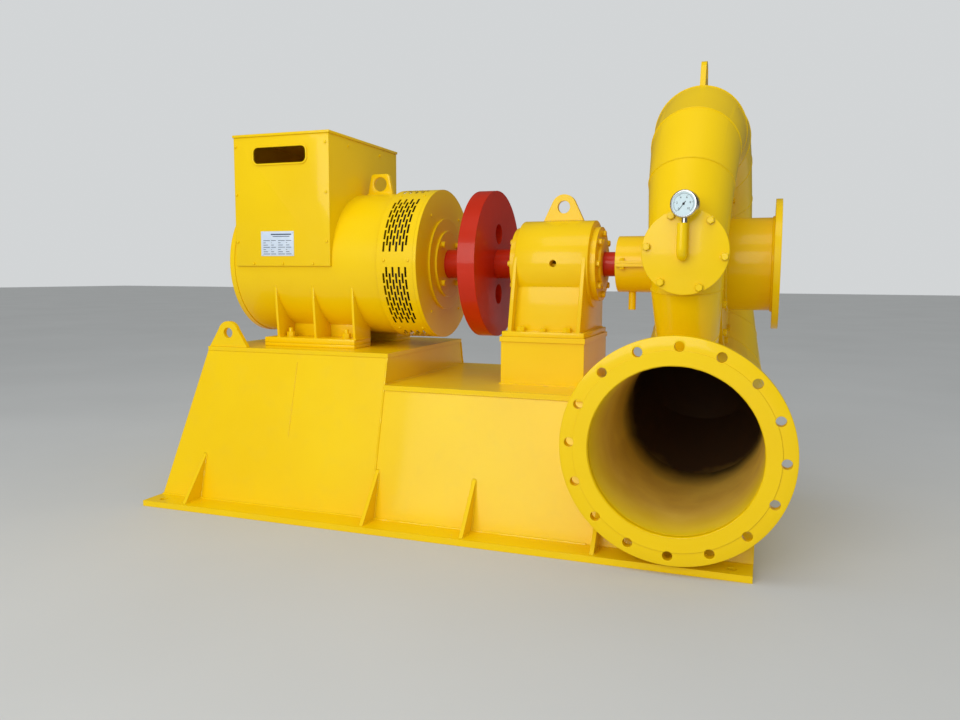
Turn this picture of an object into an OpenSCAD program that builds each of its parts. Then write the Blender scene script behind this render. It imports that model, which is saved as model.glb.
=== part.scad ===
// Horizontal hydroelectric generator set: an alternator, a flywheel, a bearing
// pedestal and a spiral-casing turbine in line on one welded base frame.
// +X runs along the shaft from the alternator to the turbine, +Y is the side
// away from the inlet flange, +Z is up. The origin is on the floor, midway
// between the four foundation bolts. All sizes are in millimetres.

/* [Shaft line] */
// Height of the shaft centre over the floor
shaft_z = 686; // [660:1:720]
// Radius of the turbine shaft
shaft_r = 33.5; // [30:0.5:38]
// Radial running clearance in the two bearing covers
run_gap = 0.08; // [0.05:0.01:0.1]

/* [Base frame] */
// Length of the base plate along the shaft
plate_l = 1634; // [1610:1:1680]
// Width of the base plate across the shaft
plate_w = 916; // [900:1:960]
// Thickness of the base plate
plate_t = 16; // [12:1:20]
// Half width of the walls where they stand on the plate
foot_half = 382; // [370:1:395]
// How far the side walls lean in for each millimetre of height
side_lean = 0.26; // [0.2:0.01:0.28]
// How far the end wall leans in for each millimetre of height
end_lean = 0.214; // [0.15:0.01:0.25]
// Thickness of the wall plates
wall_t = 10; // [8:1:12]
// Height of the deck under the alternator
tall_z = 442; // [435:1:450]
// Height of the deck under the bearing pedestal
low_z = 359; // [340:1:370]
// Thickness of the deck plates
deck_t = 12; // [10:1:16]
// Distance from the left plate end to the foot of the end wall
end_margin = 5; // [3:1:15]
// X of the step between the two decks
step_x = -138; // [-150:1:-130]
// X where the low deck ends, beside the inlet pipe
deck_end_x = 438; // [430:1:440]
// Foundation bolt spacing along the shaft
bolt_dx = 1544; // [1530:1:1560]
// Foundation bolt spacing across the shaft
bolt_dy = 850; // [846:1:856]
// Radius of the foundation bolt holes
bolt_hole_r = 11; // [9:0.5:13]
// Height of the triangular wall gussets
gusset_h = 125; // [100:1:140]
// Reach of the wall gussets over the base plate
gusset_w = 66; // [50:1:70]
// Thickness of the wall gussets
gusset_t = 10; // [8:1:12]

/* [Alternator] */
// Radius of the alternator body
gen_r = 208; // [200:1:212]
// X of the face of the shaft-end cover
gen_face_x = -80; // [-85:1:-75]
// Length of the alternator from rear cover to shaft-end cover
gen_l = 607; // [600:1:615]
// Radius of the shaft-end cover and the grille ring
grille_r = 216; // [214:1:220]
// Width of the grille ring
grille_w = 110; // [105:1:112]
// Sheet thickness of the grille ring
grille_t = 4; // [3:0.5:5]
// Thickness of the shaft-end cover
cover_t = 10; // [8:1:12]
// Length of each alternator foot plate
foot_l = 301; // [290:1:310]
// Width of each alternator foot plate
foot_w = 100; // [90:1:105]
// Distance from the shaft to the outer edge of a foot plate
foot_out = 190; // [186:1:196]
// Thickness of the foot plates
foot_t = 16; // [14:1:20]
// Thickness of the pads under the feet
pad_t = 10; // [8:1:12]

/* [Terminal box] */
// Length of the terminal box along the shaft
box_l = 316; // [300:1:325]
// Half depth of the terminal box
box_half = 216; // [214:1:220]
// Gap between the terminal box and the grille ring
box_back = 150; // [140:1:160]
// Height of the lid over the shaft
box_top = 363; // [350:1:370]
// Sheet thickness of the box
box_t = 3; // [2:0.5:4]
// Length of the cable slot
slot_l = 172; // [150:1:190]
// Height of the cable slot
slot_h = 56; // [45:1:60]

/* [Flywheel and bearing] */
// Radius of the flywheel
fly_r = 208; // [200:1:212]
// Width of the flywheel rim
fly_w = 49; // [40:1:55]
// X of the flywheel face nearer the alternator
fly_x = 37; // [32:1:42]
// Radius of the flywheel hub and coupling sleeve
hub_r = 42; // [40:0.5:44]
// X of the middle of the bearing housing
bearing_x = 271; // [265:1:275]
// Length of the bearing housing
bearing_l = 202; // [190:1:210]
// Radius of the bearing housing
bearing_r = 120; // [115:1:124]
// Length of the pedestal box under the bearing
ped_l = 230; // [224:1:240]
// Half width of the pedestal box
ped_half = 150; // [145:1:156]
// Height of the pedestal box over the low deck
ped_h = 130; // [120:1:140]
// Radius of the split guard over the shaft seal
guard_r = 76; // [70:1:80]

/* [Turbine] */
// X of the plane of the spiral casing
spiral_x = 644.5; // [642:0.5:650]
// Distance from the shaft to the inner side of the spiral pipe
core_r = 215; // [210:1:218]
// Outer radius of the inlet pipe
inlet_r = 195; // [190:1:197]
// Pipe radius low at the rear, after the inlet has tapered
rear_r = 133; // [130:1:138]
// Pipe radius at the top
top_r = 121; // [116:1:126]
// Pipe radius at the front, at shaft height
front_r = 87; // [84:1:92]
// Wall thickness of the spiral and the pipes
pipe_t = 6; // [5:0.5:8]
// Distance from the shaft to the face of the inlet flange
inlet_y = 480; // [478:1:500]
// Diameter of the inlet flange
flange_d = 505; // [495:1:520]
// Bolt circle of the inlet flange
flange_pcd = 460; // [450:1:465]
// Radius of the inlet bolt holes
flange_hole_r = 11; // [9:0.5:12]
// Thickness of the inlet flange
flange_t = 24; // [20:1:26]
// Half width of the drum in the middle of the spiral
drum_half = 62; // [58:1:66]
// Radius of the draft tube
draft_r = 119; // [112:1:122]
// Diameter of the draft flange
draft_flange_d = 332; // [320:1:345]
// Bolt circle of the draft flange
draft_pcd = 288; // [280:1:295]
// X of the face of the draft flange
draft_x = 849; // [845:1:870]
// Radius of the runner at its inlet
runner_r = 150; // [140:1:158]
// Radius of the inspection cover
hatch_r = 94; // [90:1:98]
// Radius of the pressure gauge case
gauge_r = 30.5; // [28:0.5:34]

/* [Hidden] */
$fn = 96;
// A cut runs this far past the face it opens
over = 1;
// Gap between a flat piece and the round body it is seated on
seat = 0.2;
plate_end = plate_l / 2;
tall_x0 = -plate_end + end_margin;
body_x0 = gen_face_x - gen_l;
grille_x = gen_face_x - cover_t - grille_w;
rear_t = 16;
lug_t = 14;
box_x1 = grille_x - box_back;
box_x0 = box_x1 - box_l;
lid_t = 8;
lid_lip = 4;
box_low = 9;
foot_x0 = box_x0 + 73;
foot_z = tall_z + pad_t;
foot_ribs = [8, foot_l / 2, foot_l - 20];
rib_t = 12;
cap_r = 132;
cap_t = 6;
cap_inner_r = 96;
cap_inner_t = 6;
sleeve_x0 = gen_face_x - 40;
sleeve_x1 = fly_x + fly_w + 45;
shaft_x0 = grille_x + 10;
bearing_x0 = bearing_x - bearing_l / 2;
bearing_x1 = bearing_x + bearing_l / 2;
bearing_cover_r = 102;
bearing_cover_t = 16;
ped_z = low_z + ped_h;
ped_top_t = 14;
bearing_foot_t = 14;
bearing_foot_z = ped_z + bearing_foot_t;
web_half = 105;
guard_x0 = bearing_x1 + 64;
guard_t = 6;
head_t = 13;
drum_t = 17;
// The spiral pipes open into a drum of this radius
drum_r = core_r + 7;
head_x = spiral_x - drum_half - head_t;
draft_cover_x = spiral_x + drum_half;
guard_l = head_x - guard_x0;
inlet_z = shaft_z - core_r - inlet_r;
mitre = 22.5;
tongue_a = 262;
bay_gap = 10;
neck_t = 6;
hatch_z = shaft_z + 18;
hatch_t = 12;
hatch_face_y = -(core_r + 2 * front_r + 23);
gauge_pipe_r = 11;
bend_r = 16;
gauge_y = hatch_face_y - 28;
gauge_z = shaft_z + 121;
gauge_case_t = 24;

// Half width between the side walls' outer faces at height z
function half_w(z) = foot_half - side_lean * (z - plate_t);
// X of the end wall's outer face at height z
function end_x(z) = tall_x0 + end_lean * (z - plate_t);
// Radius of the spiral pipe at angle a round the shaft, from the rear side
function pipe_r(a) = lookup(a, [[-90, inlet_r], [-22.5, rear_r], [90, top_r],
    [180, front_r], [225, front_r - 17], [247.5, front_r - 25]]);
// Direction in the YZ plane at angle a round the shaft
function dir(a) = [cos(a), sin(a)];
// A vector scaled to length one
function unit(v) = v / norm(v);

// A solid bar along the shaft line
module rod_x(x, len, r) {
    translate([x, 0, shaft_z]) rotate([0, 90, 0]) cylinder(h = len, r = r);
}

// A tube along the shaft line
module tube_x(x, len, r_out, r_in) {
    difference() {
        rod_x(x, len, r_out);
        rod_x(x - over, len + 2 * over, r_in);
    }
}

// A flat shape in the YZ plane, extruded along X from x
module slab_x(x, len) {
    translate([x, 0, 0]) rotate([90, 0, 90]) linear_extrude(len) children();
}

// A flat shape in the XZ plane, extruded along Y, centred on y
module slab_y(y, len) {
    translate([0, y + len / 2, 0]) rotate([90, 0, 0]) linear_extrude(len)
        children();
}

// Lifting eye outline: a tapered plate with a round top and a hole
module lug_outline(w, h, r, hole_r) {
    difference() {
        union() {
            polygon([[-w / 2, 0], [w / 2, 0], [r * 0.96, h - r * 0.7],
                [-r * 0.96, h - r * 0.7]]);
            translate([0, h - r]) circle(r = r);
        }
        translate([0, h - r]) circle(r = hole_r);
    }
}

// Section across the walls between two heights
module wall_section(z0, z1, inset) {
    polygon([[-half_w(z0) + inset, z0], [half_w(z0) - inset, z0],
        [half_w(z1) - inset, z1], [-half_w(z1) + inset, z1]]);
}

// Section along the tall part, with its leaning end
module end_section(z0, z1, inset) {
    polygon([[end_x(z0) + inset, z0], [step_x - inset, z0],
        [step_x - inset, z1], [end_x(z1) + inset, z1]]);
}

// The tall part as one block, between two heights
module tall_block(z0, z1, inset) {
    intersection() {
        slab_x(-plate_end, plate_l) wall_section(z0, z1, inset);
        slab_y(0, plate_w) end_section(z0, z1, inset);
    }
}

// Steel plate under the whole set, with the foundation bolt holes
module base_plate() {
    color("gold") difference() {
        translate([-plate_end, -plate_w / 2, 0])
            cube([plate_l, plate_w, plate_t]);
        for (sx = [-1, 1], sy = [-1, 1])
            translate([sx * bolt_dx / 2, sy * bolt_dy / 2, -over])
                cylinder(h = plate_t + 2 * over, r = bolt_hole_r);
    }
}

// Leaning walls under the alternator
module tall_base() {
    color("gold") difference() {
        tall_block(plate_t, tall_z - deck_t, 0);
        tall_block(plate_t - over, tall_z - deck_t + over, wall_t);
    }
}

// Room for the inlet pipe and the spiral between the low walls
module pipe_bay() {
    bay_r = inlet_r + bay_gap;
    translate([spiral_x, 0, inlet_z]) rotate([90, 0, 0])
        cylinder(h = plate_w, r = bay_r, center = true);
    translate([spiral_x - bay_r, -plate_w / 2, inlet_z])
        cube([2 * bay_r, plate_w, low_z]);
}

// Walls under the bearing and round the turbine bay
module low_base() {
    low_l = plate_end - step_x;
    color("gold") difference() {
        slab_x(step_x, low_l) wall_section(plate_t, low_z - deck_t, 0);
        slab_x(step_x - over, deck_end_x - wall_t - step_x + over)
            wall_section(plate_t - over, low_z - deck_t + over, wall_t);
        slab_x(deck_end_x, plate_end - wall_t - deck_end_x)
            wall_section(plate_t - over, low_z - deck_t + over, wall_t);
        pipe_bay();
    }
}

// Deck plate that carries the alternator
module tall_deck() {
    edge = half_w(tall_z - deck_t) + 1;
    color("gold") translate([end_x(tall_z) - 2, -edge, tall_z - deck_t])
        cube([step_x - end_x(tall_z) + 4, 2 * edge, deck_t]);
}

// Deck plate that carries the bearing pedestal
module low_deck() {
    edge = half_w(low_z - deck_t) + 3;
    color("gold") translate([step_x, -edge, low_z - deck_t])
        cube([deck_end_x - step_x, 2 * edge, deck_t]);
}

// Triangular gussets between the side walls and the plate
module base_gussets() {
    out = half_w(plate_t);
    top = half_w(plate_t + gusset_h);
    color("gold") for (x = [end_x(plate_t) + 123, step_x + 2, step_x + 275,
            deck_end_x + 22], s = [-1, 1])
        slab_x(x, gusset_t)
            polygon([[s * out, plate_t], [s * (out + gusset_w), plate_t],
                [s * top, plate_t + gusset_h]]);
}

// Lifting eyes at the outer end of the tall deck
module base_lugs() {
    lug_x = end_x(tall_z) + 66;
    color("gold") for (s = [-1, 1])
        translate([lug_x, 0, tall_z])
            slab_y(s * (half_w(tall_z) - lug_t / 2), lug_t)
                lug_outline(130, 75, 34, 15);
}

// Flat pads welded on the deck under the alternator feet
module generator_pads() {
    color("gold") for (s = [-1, 1])
        translate([foot_x0, s * (foot_out - foot_w / 2) - foot_w / 2, tall_z])
            cube([foot_l, foot_w, pad_t]);
}

// Foot plates with three upright ribs each, shaped to the body
module generator_feet() {
    rib_top = shaft_z - 66;
    color("gold") difference() {
        for (s = [-1, 1]) {
            translate([foot_x0, s * (foot_out - foot_w / 2) - foot_w / 2,
                    foot_z])
                cube([foot_l, foot_w, foot_t]);
            for (x = foot_ribs)
                translate([foot_x0 + x,
                        s * (foot_out - foot_w / 2) - foot_w / 2 + 4, foot_z])
                    cube([rib_t, foot_w - 8, rib_top - foot_z]);
        }
        rod_x(body_x0, gen_l, gen_r + seat);
    }
}

// Stator frame of the alternator
module generator_body() {
    color("gold") difference() {
        rod_x(body_x0 + rear_t, grille_x - body_x0 - rear_t, gen_r);
        rod_x(grille_x - 40, 40 + over, hub_r + 40);
    }
}

// Rear cover with its raised rim and hub
module generator_rear_cover() {
    color("gold") union() {
        rod_x(body_x0, rear_t, gen_r + 2);
        rod_x(body_x0 - 14, 14 + over, 120);
    }
}

// Ring with the ventilation slots round the shaft end
module grille_ring() {
    color("gold") tube_x(grille_x, grille_w, grille_r, grille_r - grille_t);
}

// Cover at the shaft end
module generator_front_cover() {
    color("gold") tube_x(gen_face_x - cover_t, cover_t, grille_r, cap_inner_r - 20);
}

// Stepped bearing cap bolted on the shaft-end cover
module generator_bearing_cap() {
    color("gold") difference() {
        union() {
            rod_x(gen_face_x, cap_t, cap_r);
            rod_x(gen_face_x, cap_t + cap_inner_t, cap_inner_r);
        }
        rod_x(gen_face_x - over, cap_t + cap_inner_t + 2 * over,
            hub_r + run_gap);
    }
}

// Lifting eye on the alternator body
module generator_lug() {
    color("gold") translate([grille_x - 95, 0, shaft_z + gen_r + seat])
        slab_y(0, lug_t) lug_outline(86, 62, 31, 17);
}

// Sheet-metal terminal box, saddled on the body, with a cable slot
module terminal_box() {
    z0 = shaft_z - box_low;
    z1 = shaft_z + box_top - lid_t;
    slot_x = box_x0 + 157;
    slot_z = shaft_z + 307;
    r = 13;
    color("gold") difference() {
        translate([box_x0, -box_half, z0]) cube([box_l, 2 * box_half, z1 - z0]);
        translate([box_x0 + box_t, -box_half + box_t, z0 - over])
            cube([box_l - 2 * box_t, 2 * (box_half - box_t),
                z1 - z0 + 2 * over]);
        rod_x(body_x0, gen_l, gen_r + seat);
        translate([slot_x, -box_half - over, slot_z]) rotate([-90, 0, 0])
            linear_extrude(box_t + 2 * over) union() {
                square([slot_l - 2 * r, slot_h], center = true);
                square([slot_l, slot_h - 2 * r], center = true);
                for (sx = [-1, 1], sz = [-1, 1])
                    translate([sx * (slot_l / 2 - r), sz * (slot_h / 2 - r)])
                        circle(r = r);
            }
    }
}

// Folded lid of the terminal box
module terminal_lid() {
    color("gold") translate([box_x0 - lid_lip, -box_half - lid_lip,
            shaft_z + box_top - lid_t])
        cube([box_l + 2 * lid_lip, 2 * (box_half + lid_lip), lid_t]);
}

// Bare rating plate on the front of the terminal box
module nameplate() {
    color("lightsteelblue") translate([box_x0 + 88, -box_half - 1.5,
            shaft_z + 20])
        cube([110, 1.5, 71]);
}

// Welded box that lifts the bearing to shaft height
module pedestal_box() {
    x0 = bearing_x - ped_l / 2 - 12;
    color("gold") union() {
        translate([x0, -ped_half, low_z])
            cube([ped_l, 2 * ped_half, ped_h - ped_top_t]);
        translate([x0 - 3, -ped_half - 4, ped_z - ped_top_t])
            cube([ped_l + 6, 2 * ped_half + 8, ped_top_t]);
    }
}

// Side plate of the bearing housing: round over the shaft, splayed at the foot
module bearing_side() {
    union() {
        polygon([[-bearing_r, shaft_z], [bearing_r, shaft_z],
            [ped_half, bearing_foot_z], [-ped_half, bearing_foot_z]]);
        translate([0, shaft_z]) circle(r = bearing_r);
    }
}

// Bearing housing: barrel, webs, splayed side plates and foot plate
module bearing_housing() {
    color("gold") difference() {
        union() {
            rod_x(bearing_x0, bearing_l, bearing_r);
            slab_x(bearing_x0 - 3, rib_t) bearing_side();
            slab_x(bearing_x1 - rib_t - 5, rib_t) bearing_side();
            translate([bearing_x0, -web_half, bearing_foot_z - over])
                cube([bearing_l - 10, 2 * web_half,
                    shaft_z - bearing_foot_z]);
            translate([bearing_x0 - 24, -ped_half, ped_z])
                cube([ped_l - 3, 2 * ped_half, bearing_foot_t]);
        }
        rod_x(bearing_x0 - 10, bearing_l + 20, bearing_cover_r - 30);
        translate([bearing_x + 7, -bearing_r - over, shaft_z])
            rotate([-90, 0, 0]) cylinder(h = bearing_r, r = 6);
    }
}

// End covers that hold the bearing, bored for the shaft
module bearing_covers() {
    color("gold") for (x = [bearing_x0 - 3 - bearing_cover_t, bearing_x1])
        tube_x(x, bearing_cover_t, bearing_cover_r, shaft_r + run_gap);
}

// Lifting eye on the bearing housing
module bearing_lug() {
    color("gold") translate([bearing_x + 7, 0, shaft_z + bearing_r])
        slab_y(0, lug_t) lug_outline(114, 73, 35, 17.5);
}

// Steel shaft from the alternator to the turbine runner
module shaft() {
    color("firebrick") rod_x(shaft_x0, spiral_x - 20 - shaft_x0, shaft_r);
}

// Flywheel with lightening holes
module flywheel() {
    color("crimson") difference() {
        rod_x(fly_x, fly_w, fly_r);
        rod_x(fly_x - over, fly_w + 2 * over, hub_r);
        for (a = [0, 180]) rotate_about_shaft(a)
            translate([fly_x - over, 0, 86]) rotate([0, 90, 0])
                cylinder(h = fly_w + 2 * over, r = 29);
    }
}

// Turn children round the shaft line; zero points up
module rotate_about_shaft(a) {
    translate([0, 0, shaft_z]) rotate([a, 0, 0]) children();
}

// Sleeve that carries the flywheel on the shaft
module coupling_sleeve() {
    color("crimson") tube_x(sleeve_x0, sleeve_x1 - sleeve_x0, hub_r, shaft_r);
}

// Half of the split guard: a half tube with end discs and bolting edges
module guard_half() {
    edge_w = guard_r + 16;
    difference() {
        union() {
            rod_x(guard_x0, guard_l, guard_r);
            translate([guard_x0 + 4, -edge_w, shaft_z])
                cube([guard_l - 8, 2 * edge_w, 8]);
        }
        rod_x(guard_x0 + guard_t, guard_l - 2 * guard_t, guard_r - guard_t);
        rod_x(guard_x0 - over, guard_l + 2 * over, shaft_r + 8);
        translate([guard_x0 - over, -2 * guard_r, shaft_z - 2 * guard_r])
            cube([guard_l + 2 * over, 4 * guard_r, 2 * guard_r]);
    }
}

// Upper half of the shaft seal guard
module guard_upper() {
    color("gold") guard_half();
}

// Lower half of the shaft seal guard
module guard_lower() {
    color("gold") translate([0, 0, 2 * shaft_z]) mirror([0, 0, 1])
        guard_half();
}

// Drain pipe under the shaft seal guard
module drain_pipe() {
    color("gold") difference() {
        translate([guard_x0 + 37, 0, shaft_z - guard_r - 48])
            cylinder(h = 60, r = 10);
        translate([guard_x0 + 37, 0, shaft_z - guard_r - 48 - over])
            cylinder(h = 70, r = 7);
        rod_x(guard_x0, guard_l, guard_r + seat);
    }
}

// Turbine cover on the shaft side
module head_cover() {
    color("gold") tube_x(head_x, head_t, drum_r - 4, shaft_r + 7);
}

// Drum in the middle of the spiral
module casing_drum() {
    color("gold") tube_x(spiral_x - drum_half, 2 * drum_half, drum_r,
        drum_r - drum_t);
}

// Cone of one ring, whose inner and outer edges meet its neighbours' edges at
// the mitres. Its axis halves the angle between the two edges.
module pipe_cone(a0, a1, wall) {
    in0 = core_r * dir(a0);
    in1 = core_r * dir(a1);
    out0 = (core_r + 2 * pipe_r(a0)) * dir(a0);
    out1 = (core_r + 2 * pipe_r(a1)) * dir(a1);
    edge = unit(out1 - out0);
    axis = unit(unit(in1 - in0) + edge);
    far0 = out0 + edge * ((in0 - out0) * axis) / (edge * axis);
    far1 = out0 + edge * ((in1 - out0) * axis) / (edge * axis);
    mid0 = (in0 + far0) / 2;
    len = norm((in1 + far1) / 2 - mid0);
    r0 = norm(far0 - in0) / 2 - wall;
    r1 = norm(far1 - in1) / 2 - wall;
    ext = 1.1;
    translate([spiral_x, mid0[0], shaft_z + mid0[1]])
        rotate([atan2(axis[1], axis[0]) - 90, 0, 0])
            translate([0, 0, -ext * len])
                cylinder(h = (1 + 2 * ext) * len, r1 = r0 + ext * (r0 - r1),
                    r2 = r1 - ext * (r0 - r1));
}

// The solid ring between two mitre planes
module ring_block(i) {
    intersection() {
        pipe_cone(-90 + i * mitre, -90 + (i + 1) * mitre, 0);
        wedge(-90 + i * mitre, -90 + (i + 1) * mitre);
    }
}

// Wedge of space between two angles round the shaft
module wedge(a0, a1) {
    far = 2 * (core_r + 2 * inlet_r);
    slab_x(spiral_x - inlet_r - 10, 2 * inlet_r + 20)
        translate([0, shaft_z])
            polygon([[0, 0], [far * cos(a0), far * sin(a0)],
                [far * cos(a1), far * sin(a1)]]);
}

// One mitred ring of the spiral casing
module casing_ring(i) {
    a0 = -90 + i * mitre;
    a1 = a0 + mitre;
    difference() {
        intersection() {
            pipe_cone(a0, a1, 0);
            wedge(a0, a1 > 240 ? tongue_a : a1);
        }
        intersection() {
            pipe_cone(a0, a1, pipe_t);
            wedge(a0 - 1, a1 > 240 ? tongue_a + 1 : a1 + 1);
        }
        rod_x(spiral_x - inlet_r, 2 * inlet_r, drum_r);
        if (a1 > 200) inlet_bar(inlet_r);
    }
}

// Every other ring of the spiral, beginning at the inlet
module casing_rings_a() {
    color("gold") for (i = [0:2:14]) casing_ring(i);
}

// The rings of the spiral between those
module casing_rings_b() {
    color("gold") for (i = [1:2:13]) casing_ring(i);
}

// Solid bar along the inlet axis, from the flange face to the first mitre
module inlet_bar(r) {
    translate([spiral_x, 0, inlet_z]) rotate([90, 0, 0])
        cylinder(h = inlet_y, r = r);
}

// Straight inlet pipe under the spiral
module inlet_pipe() {
    color("gold") difference() {
        intersection() {
            inlet_bar(inlet_r);
            translate([spiral_x - flange_d, -inlet_y + flange_t, 0])
                cube([2 * flange_d, inlet_y - flange_t, 2 * inlet_z]);
        }
        translate([0, over, 0]) inlet_bar(inlet_r - pipe_t);
        rod_x(spiral_x - inlet_r, 2 * inlet_r, drum_r);
    }
}

// Inlet flange with its ring of bolt holes
module inlet_flange() {
    bore_r = inlet_r - pipe_t;
    color("gold") translate([spiral_x, -inlet_y + flange_t, inlet_z])
        rotate([90, 0, 0]) difference() {
            cylinder(h = flange_t, r = flange_d / 2);
            translate([0, 0, -over])
                cylinder(h = flange_t + 2 * over, r = bore_r);
            for (i = [0:15]) rotate([0, 0, 90 + i * 22.5])
                translate([flange_pcd / 2, 0, -over])
                    cylinder(h = flange_t + 2 * over, r = flange_hole_r);
        }
}

// Saddle plates that carry the casing on the base plate
module casing_saddles() {
    half = 130;
    color("gold") difference() {
        for (y = [-300, -70])
            translate([spiral_x - half, y, plate_t])
                cube([2 * half, 14, inlet_z - inlet_r * 0.72 - plate_t]);
        inlet_bar(inlet_r + seat);
    }
}

// Turbine cover on the draft side
module draft_cover() {
    color("gold") tube_x(draft_cover_x, head_t, drum_r - 4,
        draft_r - pipe_t);
}

// Draft tube
module draft_tube() {
    x0 = draft_cover_x + head_t;
    color("gold") tube_x(x0, draft_x - 16 - x0, draft_r, draft_r - pipe_t);
}

// Draft flange with its bolt holes
module draft_flange() {
    color("gold") difference() {
        tube_x(draft_x - 16, 16, draft_flange_d / 2, draft_r - pipe_t);
        for (i = [0:7]) rotate_about_shaft(22.5 + i * 45)
            translate([draft_x - 16 - over, 0, draft_pcd / 2])
                rotate([0, 90, 0])
                    cylinder(h = 16 + 2 * over, r = flange_hole_r);
    }
}

// Runner: crown, band and curved blades, fixed on the shaft end
module runner() {
    crown_x = spiral_x - 32;
    color("silver") union() {
        tube_x(crown_x, 12, runner_r, shaft_r);
        tube_x(crown_x, 30, hub_r + 6, shaft_r);
        tube_x(crown_x + 52, 40, draft_r - pipe_t - 8, draft_r - pipe_t - 14);
        tube_x(crown_x + 52, 8, runner_r, draft_r - pipe_t - 14);
        for (i = [0:10]) rotate_about_shaft(i * 360 / 11)
            translate([crown_x + 8, 0, 0]) rotate([0, 90, 0])
                linear_extrude(48) difference() {
                    translate([-72, 52]) circle(r = 92);
                    translate([-72, 52]) circle(r = 88);
                    circle(r = hub_r + 12);
                    translate([-200, 52]) square([400, 200]);
                    translate([-72, -200]) square([400, 400]);
                    difference() {
                        circle(r = 400);
                        circle(r = runner_r - 2);
                    }
                }
    }
}

// Short neck that carries the inspection cover
module hatch_neck() {
    y0 = hatch_face_y + hatch_t;
    color("gold") difference() {
        translate([spiral_x, y0 + 60, hatch_z]) rotate([90, 0, 0])
            cylinder(h = 60, r = hatch_r - 20);
        translate([spiral_x, y0 + 61, hatch_z]) rotate([90, 0, 0])
            cylinder(h = 70, r = hatch_r - 20 - neck_t);
        for (i = [10:13]) ring_block(i);
    }
}

// Round inspection cover
module hatch_cover() {
    color("gold") translate([spiral_x, hatch_face_y + hatch_t, hatch_z])
        rotate([90, 0, 0]) cylinder(h = hatch_t, r = hatch_r);
}

// Bent pipe from the inspection cover up to the gauge
module gauge_pipe() {
    z0 = gauge_z - 109;
    top = gauge_z - gauge_r - 9;
    color("gold") union() {
        translate([spiral_x, hatch_face_y, z0]) rotate([90, 0, 0])
            cylinder(h = hatch_face_y - gauge_y - bend_r, r = gauge_pipe_r);
        translate([spiral_x, gauge_y + bend_r, z0 + bend_r])
            rotate([90, 0, 90]) rotate([0, 0, 180])
                rotate_extrude(angle = 90)
                    translate([bend_r, 0]) circle(r = gauge_pipe_r);
        translate([spiral_x, gauge_y, z0 + bend_r])
            cylinder(h = top - z0 - bend_r, r = gauge_pipe_r);
    }
}

// Round gauge case with its stem
module gauge_case() {
    color("dimgray") difference() {
        union() {
            translate([spiral_x, gauge_y + gauge_case_t / 2, gauge_z])
                rotate([90, 0, 0]) cylinder(h = gauge_case_t, r = gauge_r);
            translate([spiral_x, gauge_y, gauge_z - gauge_r - 9])
                cylinder(h = 12, r = 6.5);
        }
        translate([spiral_x, gauge_y - gauge_case_t / 2 + 3, gauge_z])
            rotate([90, 0, 0]) cylinder(h = 10, r = gauge_r - 3);
    }
}

// White gauge dial
module gauge_dial() {
    color("white") translate([spiral_x, gauge_y - gauge_case_t / 2 + 3,
            gauge_z])
        rotate([90, 0, 0]) cylinder(h = 1, r = gauge_r - 3 - seat);
}

// Lifting eye on top of the spiral, fitted over the top mitre
module casing_lug() {
    rise = core_r + 2 * top_r;
    color("gold") slab_x(spiral_x - lug_t / 2, lug_t)
        translate([0, shaft_z]) difference() {
            translate([0, rise - 12]) lug_outline(96, 76, 30, 15);
            polygon([[0, 0], for (a = [90 - mitre, 90, 90 + mitre])
                (core_r + 2 * pipe_r(a) + seat) * dir(a)]);
        }
}

base_plate();
tall_base();
low_base();
tall_deck();
low_deck();
base_gussets();
base_lugs();
generator_pads();
generator_feet();
generator_body();
generator_rear_cover();
grille_ring();
generator_front_cover();
generator_bearing_cap();
generator_lug();
terminal_box();
terminal_lid();
nameplate();
pedestal_box();
bearing_housing();
bearing_covers();
bearing_lug();
shaft();
flywheel();
coupling_sleeve();
guard_upper();
guard_lower();
drain_pipe();
head_cover();
casing_drum();
casing_rings_a();
casing_rings_b();
inlet_pipe();
inlet_flange();
casing_saddles();
draft_cover();
draft_tube();
draft_flange();
runner();
hatch_neck();
hatch_cover();
gauge_pipe();
gauge_case();
gauge_dial();
casing_lug();
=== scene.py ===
import math

import bmesh
import bpy
from mathutils import Matrix, Vector


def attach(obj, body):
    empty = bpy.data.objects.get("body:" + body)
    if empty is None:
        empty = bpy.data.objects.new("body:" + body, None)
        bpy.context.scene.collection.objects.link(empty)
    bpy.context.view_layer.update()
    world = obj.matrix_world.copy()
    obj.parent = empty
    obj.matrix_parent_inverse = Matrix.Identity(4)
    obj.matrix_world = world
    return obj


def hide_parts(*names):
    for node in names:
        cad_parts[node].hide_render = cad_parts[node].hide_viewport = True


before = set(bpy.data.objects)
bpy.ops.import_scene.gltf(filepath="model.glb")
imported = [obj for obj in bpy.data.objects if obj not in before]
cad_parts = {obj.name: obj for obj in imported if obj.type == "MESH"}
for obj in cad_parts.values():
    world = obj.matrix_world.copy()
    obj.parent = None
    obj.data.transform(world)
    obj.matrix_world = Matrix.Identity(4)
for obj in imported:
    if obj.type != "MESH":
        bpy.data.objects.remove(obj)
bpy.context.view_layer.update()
mm = 0.001


# The view: a wide lens held low in front of the turbine end, turned to the
# left along the set and tipped a little down.
viewpoint = Vector((0.82115, -2.20087, 0.65598))
yaw, pitch, roll = (math.radians(angle) for angle in (19.78, 6.14, 0.29))
forward = Vector((-math.sin(yaw) * math.cos(pitch),
                  math.cos(yaw) * math.cos(pitch), -math.sin(pitch)))
level = Vector((math.cos(yaw), math.sin(yaw), 0))
above = level.cross(forward)
side = level * math.cos(roll) + above * math.sin(roll)
upright = above * math.cos(roll) - level * math.sin(roll)
bpy.ops.object.camera_add()
camera = bpy.context.object
camera.data.lens = 29.82
camera.data.sensor_width = 36
camera.data.clip_start, camera.data.clip_end = 0.05, 100
turn = Matrix((side, upright, -forward)).transposed().to_4x4()
camera.matrix_world = Matrix.Translation(viewpoint) @ turn
bpy.context.scene.camera = camera


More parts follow.
